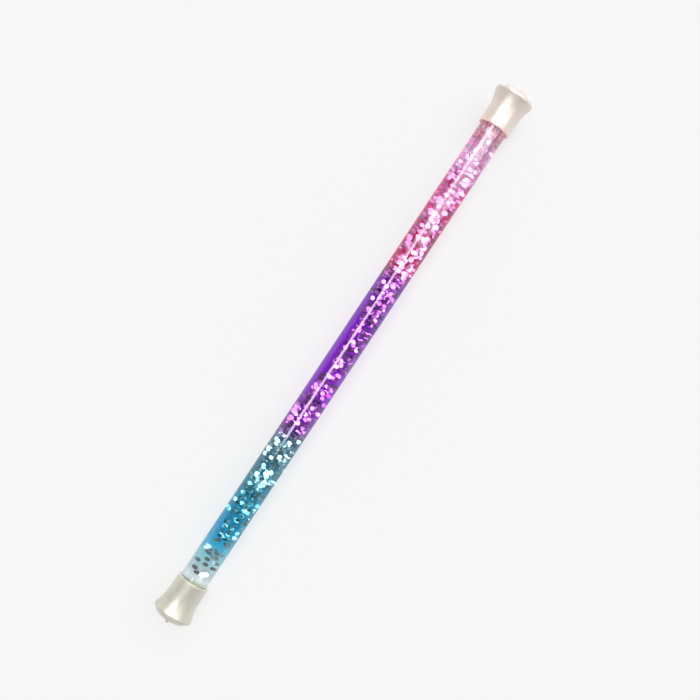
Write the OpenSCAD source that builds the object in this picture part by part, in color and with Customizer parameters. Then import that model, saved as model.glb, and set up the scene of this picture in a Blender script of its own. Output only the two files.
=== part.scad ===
// Glitter wand: a sealed clear tube of liquid and loose foil flakes, closed by two flared caps.
// The wand lies along X on the rims of its caps, with its middle over the origin and +Z up.
// Its pale blue end points to -X and its pink end to +X.

/* [Tube] */
// Outside diameter of the clear tube
tube_od = 14; // [12:0.5:16.5]
// Wall of the clear tube
tube_wall = 1; // [0.8:0.1:1.2]
// Length of tube that shows between the two caps
tube_show = 261.4; // [200:0.2:320]
// Bevel on the edges of the cut ends
tube_bevel = 0.25; // [0.1:0.05:0.35]

/* [Caps] */
// Wall of the sleeve that grips the tube
cap_wall = 1.2; // [0.8:0.05:2]
// Length of tube held in a cap
cap_grip = 14; // [11:0.5:15]
// Radius of the rounded edge of the mouth
mouth_round = 0.5; // [0.2:0.05:0.6]
// Length from the mouth to the start of the flare
cap_straight = 8; // [5:0.5:10]
// Length from the mouth to the rim
cap_to_rim = 17.6; // [16:0.2:20]
// Diameter of the rim, the widest place of the wand
rim_d = 20.3; // [19.5:0.1:26]
// Length of the straight land on the rim
rim_land = 1; // [0.6:0.1:2]
// Length of the bevel between the rim and the domed end
bevel_len = 2; // [1:0.1:2.6]
// Depth of that bevel below the rim
bevel_in = 2; // [1:0.1:2.4]
// Width of the flat ring between the bevel and the domed end
ring_w = 0.4; // [0.2:0.1:0.8]
// Height of the domed end above the ring
dome_h = 1.4; // [1:0.1:2.5]
// Thickness of the domed end at its middle
end_wall = 1.8; // [1.2:0.1:2.4]
// Width of the step that holds the stopper's flange, around the hollow behind it
step_w = 1.25; // [1:0.05:2.5]
// Diameter of the moulding nub on the end
nub_d = 2; // [1.6:0.1:3]
// Length of the moulding nub
nub_len = 2.3; // [1.6:0.1:4]

/* [Stoppers] */
// Thickness of the flange that sits on the cut end of the tube
flange_t = 1.5; // [1:0.1:2]
// Length of the plug inside the tube
plug_len = 7; // [6:0.5:9]
// Height of the sealing ribs above the plug
rib_rise = 0.55; // [0.3:0.05:0.8]
// Number of sealing ribs
rib_count = 3; // [2:1:3]
// Wall of the plug around the hole that makes it springy
plug_wall = 2.9; // [1.5:0.1:3.5]
// Depth of that hole
plug_hole_depth = 5.5; // [3:0.5:6]

/* [Liquid] */
// Length of the air bubble at the pink end
bubble_len = 26.3; // [15:0.1:40]
// Diameter of the air bubble
bubble_d = 5.5; // [4:0.1:5.6]

/* [Glitter] */
// Width of a six-sided flake across its corners
flake_d = 2.1; // [1.6:0.05:2.2]
// Thickness of a flake, foil and lacquer
flake_t = 0.12; // [0.08:0.01:0.2]
// Mean distance between the flakes of a group
flake_pitch = 2.7; // [2.5:0.05:3.5]
// Steepest lean of a flake, in degrees
flake_lean = 35; // [10:5:80]
// Number of groups along the tube in the three longer layers
group_count = 5; // [4:1:6]
// Seed of the scattered places
scatter_seed = 11; // [1:1:99]

/* [Clearances] */
// Glue film between the tube and a cap
glue_gap = 0.05; // [0.03:0.01:0.1]
// Gap between the soft stopper and what it sits in
stopper_gap = 0.05; // [0.03:0.01:0.1]
// Gap between the liquid and what holds it
liquid_gap = 0.1; // [0.08:0.01:0.15]
// Least gap between flakes, and from flakes to the edge of the liquid
flake_gap = 0.25; // [0.22:0.01:0.3]
// Room in the liquid round each flake
pocket_gap = 0.1; // [0.08:0.01:0.1]

/* [Hidden] */
$fn = 96;
// Extra length of a cut past the face that it opens
overrun = 0.5;

// Radii and places along X
tube_r = tube_od / 2;
bore_r = tube_r - tube_wall;
mouth_x = tube_show / 2;
tube_end_x = mouth_x + cap_grip;
plug_x = tube_end_x - plug_len;
axis_z = rim_d / 2;

// Cap, measured from its mouth
rim_r = rim_d / 2;
socket_r = tube_r + glue_gap;
sleeve_r = socket_r + cap_wall;
seat_depth = cap_grip + flange_t;
flare_len = cap_to_rim - cap_straight;
flare_rise = rim_r - sleeve_r;
flare_r = (flare_len * flare_len + flare_rise * flare_rise) / (2 * flare_rise);
land_end = cap_to_rim + rim_land;
dome_base = land_end + bevel_len;
ring_r = rim_r - bevel_in;
dome_r = ring_r - ring_w;
dome_ball_r = (dome_r * dome_r + dome_h * dome_h) / (2 * dome_h);
dome_top = dome_base + dome_h;
hollow_r = socket_r - step_w;
hollow_depth = dome_top - end_wall;
nub_r = nub_d / 2;

// Stopper, measured from the seat of its flange
flange_r = socket_r - stopper_gap;
plug_r = bore_r - stopper_gap - rib_rise;
plug_hole_r = plug_r - plug_wall;
rib_step = plug_len / (rib_count + 1);

// Liquid
liquid_r = bore_r - liquid_gap;
liquid_x = plug_x - liquid_gap;
bubble_r = bubble_d / 2;
bubble_x = liquid_x - bubble_len;
bubble_z = liquid_r - 2 * flake_gap - bubble_r;

// Glitter. Its four layers lie one above the other, so groups of two layers never meet.
layer_names = ["bed", "low", "high", "top"];
// Where a layer's first group starts, as a share of the distance between groups
layer_start_shares = [0, 0.5, 0.25, 0.75];
// Length of a group as a share of the distance between groups
group_share = 0.5;
// Place of the first flakes, as a share of the tube that shows
first_share = 0.011;
// Stretches of the tube that shows, from its blue end: start and end, the share of the places that hold a
// flake, and the two sides between which they lie as shares of the bore's radius
zone_shares = [
    [0.00, 0.036, 0.60, -0.45, 0.40],
    [0.036, 0.072, 0.95, -0.60, 0.45],
    [0.08, 0.14, 0.90, -0.90, 0.60],
    [0.14, 0.39, 0.85, -1.00, 1.00],
    [0.39, 0.62, 0.92, -1.00, 0.25],
    [0.62, 1.06, 0.92, -1.00, 1.00]
];

layer_count = len(layer_names);
flake_span = sqrt(flake_d * flake_d + flake_t * flake_t);
flake_level = cos(flake_lean) * cos(flake_lean);
flake_rise = min(flake_span, flake_d * sqrt(1 - flake_level * flake_level) + flake_t);
layer_pitch = flake_rise + flake_gap;
jitter = (flake_pitch - flake_span - flake_gap) / 2;
reach_r = liquid_r - flake_gap - flake_span / 2;
first_x = first_share * tube_show - mouth_x;
last_x = liquid_x - flake_gap;
group_pitch = (last_x - first_x) / (group_count - 1 + layer_start_shares[1] + group_share);
group_len = group_share * group_pitch;

// Drift: every group runs towards the blue end in step with its distance from that end
drift_x = flake_gap - liquid_x;
drift_keep_share = (group_len + flake_gap) / group_pitch;

function layer_z(layer) = (layer - (layer_count - 1) / 2) * layer_pitch;
function layer_end(layer) = layer_z(layer) < 0 ? last_x : bubble_x - flake_gap;
function layer_half(layer) = sqrt(reach_r * reach_r - layer_z(layer) * layer_z(layer));
function group_start(layer, group) = first_x + (group + layer_start_shares[layer]) * group_pitch;
function group_stop(layer, group) = min(group_start(layer, group) + group_len, layer_end(layer));
function groups_in(layer) =
    len([for (g = [0 : group_count - 1]) if (group_stop(layer, g) - group_start(layer, g) > flake_pitch) g]);
function group_name(layer, group) = str("glitter_", layer_names[layer], "_", group + 1);
function drift(layer, group) = (1 - drift_keep_share) * (group_start(layer, group) - drift_x);

// Share of the places at x and y that hold a flake
function fill_share(x, y) =
    let (along = (x + mouth_x) / tube_show, side = y / bore_r)
    max([for (z = zone_shares) along >= z[0] && along < z[1] && side >= z[3] && side <= z[4] ? z[2] : 0]);

// Places across one column of a layer, and columns along one group
function column_size(layer) = floor(2 * (layer_half(layer) - jitter) / flake_pitch) + 1;
function column_slack(layer) = layer_half(layer) - jitter - (column_size(layer) - 1) / 2 * flake_pitch;
function columns_in(layer, group) =
    floor((group_stop(layer, group) - group_start(layer, group) - flake_span - 2 * jitter) / flake_pitch) + 1;

// Every flake of a group as [place, turns]
function flakes(layer, group) =
    let (
        rows = column_size(layer),
        columns = columns_in(layer, group),
        seed = scatter_seed * 100 + layer * group_count + group,
        chance = rands(0, 1, rows * columns, seed),
        spread = rands(-1, 1, 5 * rows * columns, seed + 1000),
        shift = rands(-1, 1, columns, seed + 2000),
        x0 = group_start(layer, group) + flake_span / 2 + jitter
    )
    [
        for (c = [0 : columns - 1], r = [0 : rows - 1])
        let (
            n = c * rows + r,
            x = x0 + c * flake_pitch + jitter * spread[5 * n],
            y = (r - (rows - 1) / 2) * flake_pitch + column_slack(layer) * shift[c] + jitter * spread[5 * n + 1],
            turns = [flake_lean * spread[5 * n + 2], flake_lean * spread[5 * n + 3], 60 * spread[5 * n + 4]]
        )
        if (chance[n] < fill_share(x, y)) [[x, y, axis_z + layer_z(layer)], turns]
    ];

GLITTER = [for (layer = [0 : layer_count - 1], g = [0 : groups_in(layer) - 1]) [layer, g]];

// Turns a shape made up along Z so that it points along +X at a place on the wand's axis
module along_x(x) {
    translate([x, 0, axis_z])
        rotate([0, 90, 0])
        children();
}

// Puts a shape that was made for the pink end on the blue end
module on_blue_end() {
    mirror([1, 0, 0])
        children();
}

module tube() {
    color([0.72, 0.45, 0.9, 0.45])
        along_x(-tube_end_x)
        rotate_extrude()
        polygon([
            [bore_r, tube_bevel],
            [bore_r + tube_bevel, 0],
            [tube_r - tube_bevel, 0],
            [tube_r, tube_bevel],
            [tube_r, 2 * tube_end_x - tube_bevel],
            [tube_r - tube_bevel, 2 * tube_end_x],
            [bore_r + tube_bevel, 2 * tube_end_x],
            [bore_r, 2 * tube_end_x - tube_bevel]
        ]);
}

// Half section of a cap from its axis outwards, with its mouth at zero
module cap_outline() {
    square([sleeve_r - mouth_round, cap_to_rim]);
    translate([0, mouth_round])
        square([sleeve_r, cap_to_rim - mouth_round]);
    translate([sleeve_r - mouth_round, mouth_round])
        circle(mouth_round);
    difference() {
        translate([0, cap_straight])
            square([rim_r, flare_len + rim_land]);
        translate([sleeve_r + flare_r, cap_straight])
            circle(flare_r);
    }
    polygon([
        [0, land_end],
        [rim_r, land_end],
        [ring_r, dome_base],
        [0, dome_base]
    ]);
    intersection() {
        translate([0, dome_base])
            square([ring_r, dome_h]);
        translate([0, dome_top - dome_ball_r])
            circle(dome_ball_r);
    }
    translate([0, dome_top - end_wall])
        square([nub_r, end_wall + nub_len - nub_r]);
    translate([0, dome_top + nub_len - nub_r])
        circle(nub_r);
}

module cap() {
    along_x(mouth_x)
        rotate_extrude()
        difference() {
            intersection() {
                cap_outline();
                square([rim_r, dome_top + nub_len]);
            }
            translate([0, -overrun])
                square([socket_r, overrun + seat_depth]);
            square([hollow_r, hollow_depth]);
        }
}

module blue_cap() {
    color([0.9, 0.89, 0.85])
        on_blue_end()
        cap();
}

module pink_cap() {
    color([0.93, 0.89, 0.87])
        cap();
}

// Soft plug with sealing ribs, its flange held between the cut end of the tube and the step inside the cap
module stopper() {
    along_x(plug_x)
        rotate_extrude()
        difference() {
            union() {
                square([plug_r, plug_len + flange_t]);
                translate([0, plug_len])
                    square([flange_r, flange_t]);
                for (n = [1 : rib_count])
                    translate([plug_r, n * rib_step])
                        circle(rib_rise);
            }
            translate([0, plug_len + flange_t - plug_hole_depth])
                square([plug_hole_r, plug_hole_depth + overrun]);
        }
}

module blue_stopper() {
    color([0.85, 0.85, 0.83])
        on_blue_end()
        stopper();
}

module pink_stopper() {
    color([0.85, 0.85, 0.83])
        stopper();
}

// One six-sided flake, larger all round by grow
module flake(place, turns, grow) {
    translate(place)
        rotate(turns)
        cylinder(d = flake_d + 2 * grow, h = flake_t + 2 * grow, center = true, $fn = 6);
}

// Air bubble that lies along the top of the liquid, with a round nose
module bubble() {
    translate([0, 0, bubble_z])
        along_x(bubble_x + bubble_r) {
            sphere(bubble_r);
            cylinder(r = bubble_r, h = bubble_len - bubble_r + overrun);
        }
}

module liquid() {
    color([0.85, 0.9, 1, 0.3])
        difference() {
            along_x(-liquid_x)
                cylinder(r = liquid_r, h = 2 * liquid_x);
            bubble();
            for (g = GLITTER)
                for (f = flakes(g[0], g[1]))
                    flake(f[0], f[1], pocket_gap);
        }
}

module glitter(layer, group) {
    color([0.8, 0.82, 0.85])
        for (f = flakes(layer, group))
            flake(f[0], f[1], 0);
}

tube();
blue_cap();
pink_cap();
blue_stopper();
pink_stopper();
liquid();
for (g = GLITTER)
    glitter(g[0], g[1]);
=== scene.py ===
"""A glitter wand: tinted tube, pearl caps, clear liquid with an air bubble, and loose foil flakes."""

import math
import random

import bmesh
import bpy
from mathutils import Matrix, Vector, noise


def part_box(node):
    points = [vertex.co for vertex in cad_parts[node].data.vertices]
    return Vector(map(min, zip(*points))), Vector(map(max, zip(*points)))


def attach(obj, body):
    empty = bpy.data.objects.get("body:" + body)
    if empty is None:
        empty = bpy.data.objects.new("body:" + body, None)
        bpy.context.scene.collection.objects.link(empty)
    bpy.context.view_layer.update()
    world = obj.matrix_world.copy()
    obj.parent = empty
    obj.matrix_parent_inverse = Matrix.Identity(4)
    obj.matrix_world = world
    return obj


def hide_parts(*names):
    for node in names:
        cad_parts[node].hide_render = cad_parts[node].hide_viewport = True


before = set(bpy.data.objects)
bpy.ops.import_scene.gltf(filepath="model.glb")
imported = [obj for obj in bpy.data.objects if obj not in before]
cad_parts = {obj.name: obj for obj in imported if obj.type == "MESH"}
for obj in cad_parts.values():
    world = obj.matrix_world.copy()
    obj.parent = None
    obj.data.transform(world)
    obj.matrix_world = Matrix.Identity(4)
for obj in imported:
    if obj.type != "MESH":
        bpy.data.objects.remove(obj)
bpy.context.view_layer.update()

MM = 0.001

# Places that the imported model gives
tube_low, tube_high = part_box("tube")
AXIS_Z = (tube_low.z + tube_high.z) / 2
TUBE_R = (tube_high.z - tube_low.z) / 2
MOUTH_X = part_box("pink_cap")[0].x
PLUG_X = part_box("pink_stopper")[0].x
LIQUID_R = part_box("liquid")[1].y

# Camera: straight above the wand, with the photograph's framing
PHOTO_PX = 700
MM_PER_PX = 0.483
WAND_CENTRE_PX = (343.5, 354.9)
WAND_ANGLE = math.radians(56.45)
CAMERA_HEIGHT = 490 * MM

# Light: two soft panels far away, as slopes from straight up
SIDE_PANEL = {"x": (-0.12, 0.95), "y": (0.13, 0.50), "soft": (0.03, 0.05), "glow": 7.5}
END_PANEL = {"x": (0.13, 2.00), "y": (-1.40, 0.80), "soft": (0.03, 0.10), "glow": 2.7}
# A dim room with a pale horizon: how far a direction points up, and the glow there
ROOM = [(0.0, 0.90), (0.12, 0.75), (0.35, 0.26), (0.70, 0.13), (1.0, 0.10)]
LEAST_RISE = 0.001

# Floor: half its width, its colour, the pale tone it shows to the eye, the share of that tone, and how far
# inside the tube's outline that fades
FLOOR_HALF = 6.0
FLOOR_COLOUR = 0.70
FLOOR_PALE = 0.925
FLOOR_LIFT = 0.70
FLOOR_FADE = 4 * MM
FLOOR_LOOK = {"Roughness": 0.9, "Specular IOR Level": 0.0}

# Tints along the tube: place from the middle in mm, colour of its wall, light that one skin lets through
TINTS = [
    (-131, (0.70, 0.74, 0.64), (0.90, 0.92, 0.89)),
    (-129, (0.74, 0.77, 0.69), (0.91, 0.93, 0.90)),
    (-127.5, (0.90, 0.93, 0.94), (0.95, 0.97, 0.98)),
    (-120, (0.87, 0.97, 0.99), (0.94, 0.99, 0.99)),
    (-114, (0.70, 0.94, 0.99), (0.87, 0.98, 0.99)),
    (-108, (0.42, 0.85, 0.97), (0.65, 0.92, 0.98)),
    (-98, (0.10, 0.76, 0.95), (0.38, 0.88, 0.98)),
    (-75, (0.15, 0.73, 0.86), (0.38, 0.85, 0.93)),
    (-47, (0.33, 0.68, 0.78), (0.56, 0.83, 0.90)),
    (-41, (0.68, 0.17, 0.91), (0.87, 0.58, 0.97)),
    (45, (0.66, 0.15, 0.93), (0.87, 0.55, 0.98)),
    (52, (0.98, 0.18, 0.50), (0.99, 0.72, 0.88)),
    (100, (0.99, 0.27, 0.66), (0.99, 0.80, 0.93)),
    (108, (0.99, 0.36, 0.75), (0.99, 0.85, 0.95)),
    (113, (0.99, 0.66, 0.90), (0.99, 0.93, 0.98)),
    (124, (0.99, 0.67, 0.90), (0.99, 0.94, 0.98)),
    # Painted light at 128 and 131 mm: the tube's pink turned salmon for the lit inside of the pink cap
    # behind it
    (128, (0.99, 0.56, 0.69), (0.99, 0.93, 0.95)),
    (131, (0.99, 0.56, 0.68), (0.99, 0.93, 0.95)),
]
# The tints' borders run aslant across the tube and wander
TINT_SLANT = 0.35
TINT_WANDER = 4 * MM
TINT_GRAIN = 90.0
# How deep the tint is, as a power of the colour: at the top, where that changes along the tube, at the
# underside, and how far above and below the axis the one turns into the other
TINT_TOP = (0.3, 0.4)
TINT_TOP_X = (-50 * MM, -40 * MM)
TINT_UNDER = 1.65
TINT_TURN = 2.5 * MM
TUBE_LOOK = {"Transmission Weight": 1.0, "IOR": 1.49, "Roughness": 0.02}

# Liquid
LIQUID_TONES = [(0.3, (0.97, 0.98, 1.0)), (0.7, (1.0, 0.99, 1.0))]
LIQUID_GRAIN = 40.0
LIQUID_FILM = (0.99, 0.99, 0.99)
LIQUID_LOOK = {"Transmission Weight": 1.0, "IOR": 1.37, "Roughness": 0.0}

# Pearl of the caps at the blue and the pink end, and the light that one skin of a cap lets through
CREAM = [(0.3, (0.57, 0.55, 0.48)), (0.7, (0.64, 0.62, 0.545))]
ROSE = [(0.3, (0.73, 0.64, 0.58)), (0.7, (0.80, 0.72, 0.665))]
PEARL_GRAIN = 220.0
PEARL_DETAIL = 4.0
CAP_FILM = (0.97, 0.93, 0.90)
PEARL_LOOK = {
    "Metallic": 0.45,
    "Roughness": 0.43,
    "Subsurface Weight": 1.0,
    "Subsurface Radius": (1.0, 0.85, 0.75),
    "Subsurface Scale": 1 * MM,
    "Coat Weight": 0.1,
    "Coat Roughness": 0.3,
    "Sheen Weight": 0.5,
    "Sheen Roughness": 0.4,
}
# Painted glow on the pink cap's lip, for pink light from the tube, and how far from the mouth it fades
PAINTED_LIP_GLOW = (0.99, 0.60, 0.60)
LIP_GLOW_FADE = (0.5 * MM, 1.2 * MM)

# Stoppers
MILK = [(0.3, (0.74, 0.74, 0.72)), (0.7, (0.82, 0.82, 0.80))]
MILK_GRAIN = 300.0
STOPPER_LOOK = {"Roughness": 0.55}

# Foil: its tones from flake to flake, and how rough it is at the two ends of a stretch of the tube
SILVER = [(0.0, (0.70, 0.72, 0.75)), (1.0, (0.93, 0.93, 0.94))]
FOIL_ROUGH_X = (45 * MM, 130 * MM)
FOIL_ROUGH = (0.14, 0.45)
FOIL_LOOK = {"Metallic": 1.0}

# Loose flakes between those of the model
FLAKE_SIDES = 6
FLAKE_R = 1.1 * MM
FLAKE_T = 0.06 * MM
FLAKE_GAP = 0.05 * MM
FLAKE_DISH = 0.012 * MM
FLAKES_PER_MM = 1.9
FLAKE_TRIES = 40
WALL_MARGIN = 0.2 * MM
SAME_POINT = 0.001 * MM
# Stretches without them, from and to in mm from the middle
BARE_STRETCHES = [(-131, -127.5), (-123, -120), (-111.6, -109)]
# Patches of them lean alike, each flake a little off its patch, and all a little to one side
PATCH_SEED = 1
PATCH_SIZE = 6 * MM
PATCH_LEAN = math.radians(22)
SINGLE_LEAN = math.radians(3)
SIDE_LEAN = math.radians(5)
# How full the tube is of them and how freely they lean: places from the middle in mm and share of the most
FULL = ((-127, 0.36), (-113, 0.36), (-108, 0.2), (-85, 0.32), (-66, 1.0), (106, 1.0), (115, 0.35))
FREE = ((-127, 0.9), (-113, 0.9), (-108, 0.25), (-85, 0.40), (-66, 1.0), (45, 1.0), (65, 0.5))
# They keep to a lane beside the middle, narrower where they are few: its offset, and its least share of the
# liquid's width
LANE_OFFSET = 0.9 * MM
LANE_LEAST = 0.35

# Skin of the liquid: it reaches across the gap at the bore and slightly into the tube's wall
WALL_GAP = 0.1 * MM
WALL_OVERLAP = 0.02 * MM
SKIN_TURNS = 128
SKIN_COLUMNS = 24

# Bubble: it lies under the top of the bore at the pink end, with a long nose and a short tail
BUBBLE_NOSE_X = 111.3 * MM
BUBBLE_NOSE_LEN = 5.0 * MM
BUBBLE_TAIL_LEN = 1.0 * MM
BUBBLE_HALF_WIDTH = 3.6 * MM
BUBBLE_SIDE_Z = 4.2 * MM
BUBBLE_UP = 1.5 * MM
BUBBLE_DOWN = 1.2 * MM
# How thin it gets towards its sides: 1 for an ellipse, 2 for a lens
BUBBLE_THIN = 1.3
BUBBLE_STEPS = 48
# Part of a step by which its first and last ring stay off its tips
BUBBLE_TIP = 0.3


def link(obj):
    bpy.context.scene.collection.objects.link(obj)
    return obj


def new_material(name):
    material = bpy.data.materials.new(name)
    material.use_nodes = True
    nodes = material.node_tree.nodes
    return material, nodes, material.node_tree.links, nodes["Principled BSDF"]


def set_inputs(node, look):
    for name, value in look.items():
        node.inputs[name].default_value = value


def feed(links, socket, value):
    """Gives a socket a number, a colour or the result of another node."""
    if isinstance(value, (int, float)):
        socket.default_value = value
    elif isinstance(value, tuple):
        socket.default_value = (*value, 1)
    else:
        links.new(value, socket)


def place_of(nodes, links, kind="Object"):
    """X, Y and Z of a place on a piece, or of a direction in the world."""
    coords = nodes.new("ShaderNodeTexCoord")
    split = nodes.new("ShaderNodeSeparateXYZ")
    links.new(coords.outputs[kind], split.inputs[0])
    return split.outputs


def math_node(nodes, links, operation, *values):
    node = nodes.new("ShaderNodeMath")
    node.operation = operation
    for socket, value in zip(node.inputs, values):
        feed(links, socket, value)
    return node.outputs[0]


def map_range(nodes, links, value, start, stop, low=0.0, high=1.0, smooth=False):
    """Goes from low to high while the value goes from start to stop."""
    node = nodes.new("ShaderNodeMapRange")
    node.interpolation_type = "SMOOTHSTEP" if smooth else "LINEAR"
    for socket, given in zip(node.inputs, (value, start, stop, low, high)):
        feed(links, socket, given)
    return node.outputs["Result"]


def ramp(nodes, links, share, stops):
    """A colour that goes from stop to stop while the share goes from 0 to 1."""
    node = nodes.new("ShaderNodeValToRGB")
    elements = node.color_ramp.elements
    while len(elements) < len(stops):
        elements.new(1.0)
    for element, (place, colour) in zip(elements, stops):
        element.position = place
        element.color = (*colour, 1)
    links.new(share, node.inputs["Fac"])
    return node.outputs["Color"]


def colour_mix(nodes, links, share, first, second):
    node = nodes.new("ShaderNodeMix")
    node.data_type = "RGBA"
    links.new(share, node.inputs["Factor"])
    for socket, value in zip((s for s in node.inputs if s.type == "RGBA"), (first, second)):
        feed(links, socket, value)
    return next(s for s in node.outputs if s.type == "RGBA")


def grain(nodes, links, scale, detail=2.0):
    coords = nodes.new("ShaderNodeTexCoord")
    node = nodes.new("ShaderNodeTexNoise")
    set_inputs(node, {"Scale": scale, "Detail": detail})
    links.new(coords.outputs["Object"], node.inputs["Vector"])
    return node.outputs["Fac"]


def let_light_in(material, film):
    """Lets lamps and soft light through clear plastic, tinted, to what lies inside and below it."""
    nodes, links = material.node_tree.nodes, material.node_tree.links
    path = nodes.new("ShaderNodeLightPath")
    clear = nodes.new("ShaderNodeBsdfTransparent")
    feed(links, clear.inputs["Color"], film)
    shown = nodes["Principled BSDF"].outputs[0]
    for ray in ("Is Shadow Ray", "Is Diffuse Ray"):
        mix = nodes.new("ShaderNodeMixShader")
        links.new(path.outputs[ray], mix.inputs[0])
        links.new(shown, mix.inputs[1])
        links.new(clear.outputs[0], mix.inputs[2])
        shown = mix.outputs[0]
    links.new(shown, nodes["Material Output"].inputs["Surface"])


def tube_material():
    material, nodes, links, shader = new_material("tinted_tube")
    x, y, z = place_of(nodes, links)
    wander = math_node(nodes, links, "MULTIPLY", grain(nodes, links, TINT_GRAIN), TINT_WANDER)
    slant = math_node(nodes, links, "MULTIPLY_ADD", y, TINT_SLANT, x)
    along = map_range(nodes, links, math_node(nodes, links, "ADD", slant, wander), -MOUTH_X, MOUTH_X)
    shown_mm = 2 * MOUTH_X / MM
    shares = [max(0.0, min(1.0, stop[0] / shown_mm + 0.5)) for stop in TINTS]
    wall = ramp(nodes, links, along, [(share, stop[1]) for share, stop in zip(shares, TINTS)])
    film = ramp(nodes, links, along, [(share, stop[2]) for share, stop in zip(shares, TINTS)])
    top = map_range(nodes, links, x, *TINT_TOP_X, *TINT_TOP)
    depth = map_range(nodes, links, z, AXIS_Z - TINT_TURN, AXIS_Z + TINT_TURN, TINT_UNDER, top, smooth=True)
    deep = nodes.new("ShaderNodeGamma")
    links.new(wall, deep.inputs["Color"])
    links.new(depth, deep.inputs["Gamma"])
    links.new(deep.outputs["Color"], shader.inputs["Base Color"])
    set_inputs(shader, TUBE_LOOK)
    let_light_in(material, film)
    return material


def liquid_material():
    material, nodes, links, shader = new_material("liquid")
    tone = ramp(nodes, links, grain(nodes, links, LIQUID_GRAIN), LIQUID_TONES)
    links.new(tone, shader.inputs["Base Color"])
    set_inputs(shader, LIQUID_LOOK)
    let_light_in(material, LIQUID_FILM)
    return material


def pearl_material():
    material, nodes, links, shader = new_material("pearl_cap")
    x = place_of(nodes, links)["X"]
    cloud = grain(nodes, links, PEARL_GRAIN, PEARL_DETAIL)
    cream, rose = (ramp(nodes, links, cloud, tones) for tones in (CREAM, ROSE))
    # Painted glow: the lip at the pink mouth turns salmon, as if lit by pink light from the tube
    lip_glow_share = map_range(nodes, links, x, *(MOUTH_X + depth for depth in LIP_GLOW_FADE))
    pink = colour_mix(nodes, links, lip_glow_share, PAINTED_LIP_GLOW, rose)
    pink_end = math_node(nodes, links, "GREATER_THAN", x, 0.0)
    links.new(colour_mix(nodes, links, pink_end, cream, pink), shader.inputs["Base Color"])
    set_inputs(shader, PEARL_LOOK)
    let_light_in(material, CAP_FILM)
    return material


def stopper_material():
    material, nodes, links, shader = new_material("stopper")
    milk = ramp(nodes, links, grain(nodes, links, MILK_GRAIN), MILK)
    links.new(milk, shader.inputs["Base Color"])
    set_inputs(shader, STOPPER_LOOK)
    return material


def foil_material():
    material, nodes, links, shader = new_material("foil")
    island = nodes.new("ShaderNodeNewGeometry")
    silver = ramp(nodes, links, island.outputs["Random Per Island"], SILVER)
    links.new(silver, shader.inputs["Base Color"])
    set_inputs(shader, FOIL_LOOK)
    worn = map_range(nodes, links, place_of(nodes, links)["X"], *FOIL_ROUGH_X, *FOIL_ROUGH)
    links.new(worn, shader.inputs["Roughness"])
    return material


def dress(node, material):
    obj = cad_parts[node]
    obj.data.materials.clear()
    obj.data.materials.append(material)


def bubble_share(along, length):
    """How wide the bubble is at a place along it, as a share of its full width."""
    if along < BUBBLE_NOSE_LEN:
        return math.sqrt(max(0.0, 1 - (1 - along / BUBBLE_NOSE_LEN) ** 2))
    if along > length - BUBBLE_TAIL_LEN:
        return math.sqrt(max(0.0, 1 - (1 - (length - along) / BUBBLE_TAIL_LEN) ** 2))
    return 1.0


def bubble_rings(angles):
    """Rings of points along the bubble, closer together near its tips."""
    length = PLUG_X - WALL_GAP - BUBBLE_NOSE_X
    rings = []
    for step in range(BUBBLE_STEPS + 1):
        turn = math.pi * (step + BUBBLE_TIP) / (BUBBLE_STEPS + 2 * BUBBLE_TIP)
        along = length * (0.5 - 0.5 * math.cos(turn))
        share = bubble_share(along, length)
        ring = []
        for angle in angles:
            rise = BUBBLE_UP if math.sin(angle) > 0 else BUBBLE_DOWN
            height = rise * math.copysign(abs(math.sin(angle)) ** BUBBLE_THIN, math.sin(angle))
            y = share * BUBBLE_HALF_WIDTH * math.cos(angle)
            ring.append((BUBBLE_NOSE_X + along, y, AXIS_Z + BUBBLE_SIDE_Z + share * height))
        rings.append(ring)
    return rings


def ring_loft(shape, rings, inside):
    """Joins rings of points into a closed skin with a flat face at each end."""
    rows = [[shape.verts.new(point) for point in ring] for ring in rings]
    count = len(rows[0])
    for row, after in zip(rows, rows[1:]):
        for k in range(count):
            quad = [row[k], row[(k + 1) % count], after[(k + 1) % count], after[k]]
            shape.faces.new(quad[::-1] if inside else quad)
    for row, flip in ((rows[0], not inside), (rows[-1], inside)):
        shape.faces.new(row[::-1] if flip else row)


def liquid_piece():
    """The liquid's skin inside the bore, and the skin of the air bubble in it."""
    shape = bmesh.new()
    radius = LIQUID_R + WALL_GAP + WALL_OVERLAP
    angles = [2 * math.pi * k / SKIN_TURNS for k in range(SKIN_TURNS)]
    circle = [(radius * math.cos(angle), AXIS_Z + radius * math.sin(angle)) for angle in angles]
    xs = [PLUG_X * (2 * k / SKIN_COLUMNS - 1) for k in range(SKIN_COLUMNS + 1)]
    ring_loft(shape, [[(x, y, z) for y, z in circle] for x in xs], inside=False)
    ring_loft(shape, bubble_rings(angles[::2]), inside=True)
    mesh = bpy.data.meshes.new("liquid_fill")
    shape.to_mesh(mesh)
    shape.free()
    for face in mesh.polygons:
        face.use_smooth = len(face.vertices) == 4
    return link(bpy.data.objects.new("liquid_fill", mesh))


def discs_of(node):
    """Centre and normal of every flake in a node of the model."""
    shape = bmesh.new()
    shape.from_mesh(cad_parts[node].data)
    bmesh.ops.remove_doubles(shape, verts=shape.verts, dist=SAME_POINT)
    seen, discs = set(), []
    for start in shape.verts:
        if start in seen:
            continue
        island = [start]
        seen.add(start)
        for vert in island:
            fresh = [e.other_vert(vert) for e in vert.link_edges if e.other_vert(vert) not in seen]
            seen.update(fresh)
            island += fresh
        centre = sum((v.co for v in island), Vector()) / len(island)
        face = max((f for v in island for f in v.link_faces), key=lambda f: f.calc_area())
        discs.append((centre, face.normal.copy()))
    shape.free()
    return discs


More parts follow.
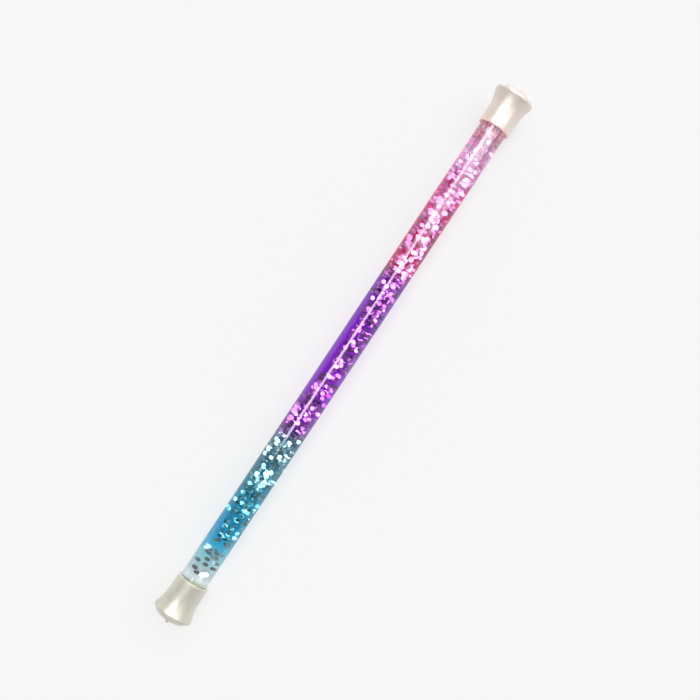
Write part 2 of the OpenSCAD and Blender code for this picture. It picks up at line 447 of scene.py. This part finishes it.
def apart(place, normal, disc):
    """True if two flakes can't touch: one lies wholly on one side of the other's face."""
    away = disc[0] - place
    if away.length > 2 * FLAKE_R:
        return True
    reach = FLAKE_R * normal.cross(disc[1]).length + 2 * FLAKE_T + FLAKE_GAP
    return abs(away.dot(normal)) > reach or abs(away.dot(disc[1])) > reach


def flake_corners():
    angles = [2 * math.pi * k / FLAKE_SIDES for k in range(FLAKE_SIDES)]
    return [(FLAKE_R * math.cos(angle), FLAKE_R * math.sin(angle), 0) for angle in angles]


def fits(place, turn, low, high):
    """True if a flake stays inside its group's box, clear of the bore and out of the bare stretches."""
    for point in flake_corners():
        corner = place + turn @ Vector(point)
        if not all(least <= at <= most for least, at, most in zip(low, corner, high)):
            return False
        if math.hypot(corner.y, corner.z - AXIS_Z) > LIQUID_R - WALL_MARGIN:
            return False
        if any(start * MM < corner.x < stop * MM for start, stop in BARE_STRETCHES):
            return False
    return True


def add_flake(points, faces, place, turn, dish):
    """Adds a thin six-sided flake, slightly dished, to lists of points and faces."""
    lower = len(points)
    upper = lower + FLAKE_SIDES + 1
    for side in (-0.5, 0.5):
        for x, y, z in flake_corners() + [(0, 0, dish)]:
            points.append(place + turn @ Vector((x, y, z + side * FLAKE_T)))
    for k in range(FLAKE_SIDES):
        after = (k + 1) % FLAKE_SIDES
        faces.append((lower + after, lower + k, lower + FLAKE_SIDES))
        faces.append((upper + k, upper + after, upper + FLAKE_SIDES))
        faces.append((lower + k, lower + after, upper + after, upper + k))


def share_at(x, stops):
    """The share at a place along the tube, from a list of places and shares."""
    for (start, low), (stop, high) in zip(stops, stops[1:]):
        if x < stop * MM:
            return low + max(0.0, (x / MM - start) / (stop - start)) * (high - low)
    return stops[-1][1]


def loose_flakes(node, seed):
    """More flakes among those of a node: patches of them lean alike, as flakes that settle do."""
    draw = random.Random(seed)
    low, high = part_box(node)
    discs = discs_of(node)
    wanted = int(FLAKES_PER_MM * (high.x - low.x) / MM)
    points, faces = [], []
    for _ in range(wanted * FLAKE_TRIES):
        place = Vector([draw.uniform(a, b) for a, b in zip(low, high)])
        full, free = share_at(place.x, FULL), share_at(place.x, FREE)
        lane = LIQUID_R * (LANE_LEAST + (1 - LANE_LEAST) * full)
        if draw.random() > full ** 2 or abs(place.y + LANE_OFFSET) > lane:
            continue
        patch = noise.noise_vector(place / PATCH_SIZE)
        leans = [free * (PATCH_LEAN * patch[k] + draw.gauss(0, SINGLE_LEAN)) for k in range(2)]
        leans[0] -= free * SIDE_LEAN
        turn = (
            Matrix.Rotation(leans[0], 3, "X")
            @ Matrix.Rotation(leans[1], 3, "Y")
            @ Matrix.Rotation(draw.uniform(0, 2 * math.pi / FLAKE_SIDES), 3, "Z")
        )
        dish = draw.uniform(-FLAKE_DISH, FLAKE_DISH)
        normal = turn @ Vector((0, 0, 1))
        if fits(place, turn, low, high) and all(apart(place, normal, disc) for disc in discs):
            discs.append((place, normal))
            add_flake(points, faces, place, turn, dish)
            wanted -= 1
        if wanted == 0:
            break
    name = node.replace("glitter", "loose_flakes")
    mesh = bpy.data.meshes.new(name)
    mesh.from_pydata(points, [], faces)
    return link(bpy.data.objects.new(name, mesh))


def floor_material():
    """Pale to the eye beside the wand, and plain for the light that falls on the wand."""
    material, nodes, links, shader = new_material("floor")
    shader.inputs["Base Color"].default_value = (FLOOR_COLOUR,) * 3 + (1,)
    set_inputs(shader, FLOOR_LOOK)
    x, y, _ = place_of(nodes, links)
    beside, beyond = (math_node(nodes, links, "ABSOLUTE", value) for value in (y, x))
    off_tube, off_mouth = (
        map_range(nodes, links, value, limit - FLOOR_FADE, limit, smooth=True)
        for value, limit in ((beside, TUBE_R), (beyond, MOUTH_X))
    )
    clear = math_node(nodes, links, "MAXIMUM", off_tube, off_mouth)
    path = nodes.new("ShaderNodeLightPath")
    seen = path.outputs["Is Camera Ray"]
    for ray in ("Is Glossy Ray", "Is Transmission Ray"):
        seen = math_node(nodes, links, "MAXIMUM", seen, path.outputs[ray])
    lift = math_node(nodes, links, "MULTIPLY", math_node(nodes, links, "MULTIPLY", seen, clear), FLOOR_LIFT)
    pale = nodes.new("ShaderNodeEmission")
    pale.inputs["Color"].default_value = (FLOOR_PALE,) * 3 + (1,)
    mix = nodes.new("ShaderNodeMixShader")
    links.new(lift, mix.inputs[0])
    links.new(shader.outputs[0], mix.inputs[1])
    links.new(pale.outputs[0], mix.inputs[2])
    links.new(mix.outputs[0], nodes["Material Output"].inputs["Surface"])
    return material


def floor():
    mesh = bpy.data.meshes.new("floor")
    corners = [(x * FLOOR_HALF, y * FLOOR_HALF, 0) for x, y in ((-1, -1), (1, -1), (1, 1), (-1, 1))]
    mesh.from_pydata(corners, [], [(0, 1, 2, 3)])
    mesh.materials.append(floor_material())
    link(bpy.data.objects.new("floor", mesh))


def panel(nodes, links, slopes, side):
    """How much of a soft panel lies in a direction, times its glow."""
    glow = side["glow"]
    for slope, limits, soft in zip(slopes, (side["x"], side["y"]), side["soft"]):
        for limit, sign in zip(limits, (1, -1)):
            edge = map_range(nodes, links, slope, limit - sign * soft, limit + sign * soft, smooth=True)
            glow = math_node(nodes, links, "MULTIPLY", edge, glow)
    return glow


def room():
    """A dim room with a pale horizon and two soft panels."""
    world = bpy.data.worlds.new("studio")
    world.use_nodes = True
    bpy.context.scene.world = world
    nodes, links = world.node_tree.nodes, world.node_tree.links
    x, y, z = place_of(nodes, links, "Generated")
    walls = ramp(nodes, links, z, [(rise, (glow,) * 3) for rise, glow in ROOM])
    rise = math_node(nodes, links, "MAXIMUM", z, LEAST_RISE)
    slopes = [math_node(nodes, links, "DIVIDE", across, rise) for across in (x, y)]
    panels = [panel(nodes, links, slopes, side) for side in (SIDE_PANEL, END_PANEL)]
    brightest = math_node(nodes, links, "MAXIMUM", *panels)
    total = math_node(nodes, links, "ADD", walls, brightest)
    links.new(total, nodes["Background"].inputs["Color"])


def camera():
    lens = bpy.data.cameras.new("camera")
    lens.sensor_fit = "HORIZONTAL"
    lens.angle = 2 * math.atan(PHOTO_PX / 2 * MM_PER_PX * MM / CAMERA_HEIGHT)
    obj = link(bpy.data.objects.new("camera", lens))
    right = Vector((math.cos(WAND_ANGLE), -math.sin(WAND_ANGLE), 0))
    up = Vector((math.sin(WAND_ANGLE), math.cos(WAND_ANGLE), 0))
    across = (PHOTO_PX / 2 - WAND_CENTRE_PX[0]) * MM_PER_PX * MM
    upward = (WAND_CENTRE_PX[1] - PHOTO_PX / 2) * MM_PER_PX * MM
    obj.location = right * across + up * upward + Vector((0, 0, AXIS_Z + CAMERA_HEIGHT))
    obj.rotation_euler = (0, 0, -WAND_ANGLE)
    bpy.context.scene.camera = obj


camera()
floor()
room()
bpy.context.scene.view_settings.view_transform = "Standard"

dress("tube", tube_material())
pearl = pearl_material()
dress("blue_cap", pearl)
dress("pink_cap", pearl)
rubber = stopper_material()
dress("blue_stopper", rubber)
dress("pink_stopper", rubber)

# Blender's noise takes its seed from the clock unless it is given one
noise.seed_set(PATCH_SEED)
foil = foil_material()
for seed, name in enumerate(sorted(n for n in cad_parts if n.startswith("glitter_"))):
    dress(name, foil)
    flakes = loose_flakes(name, seed)
    flakes.data.materials.append(foil)
    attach(flakes, name.replace("glitter", "drift"))

liquid = liquid_piece()
liquid.data.materials.append(liquid_material())
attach(liquid, "wand")
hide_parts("liquid")
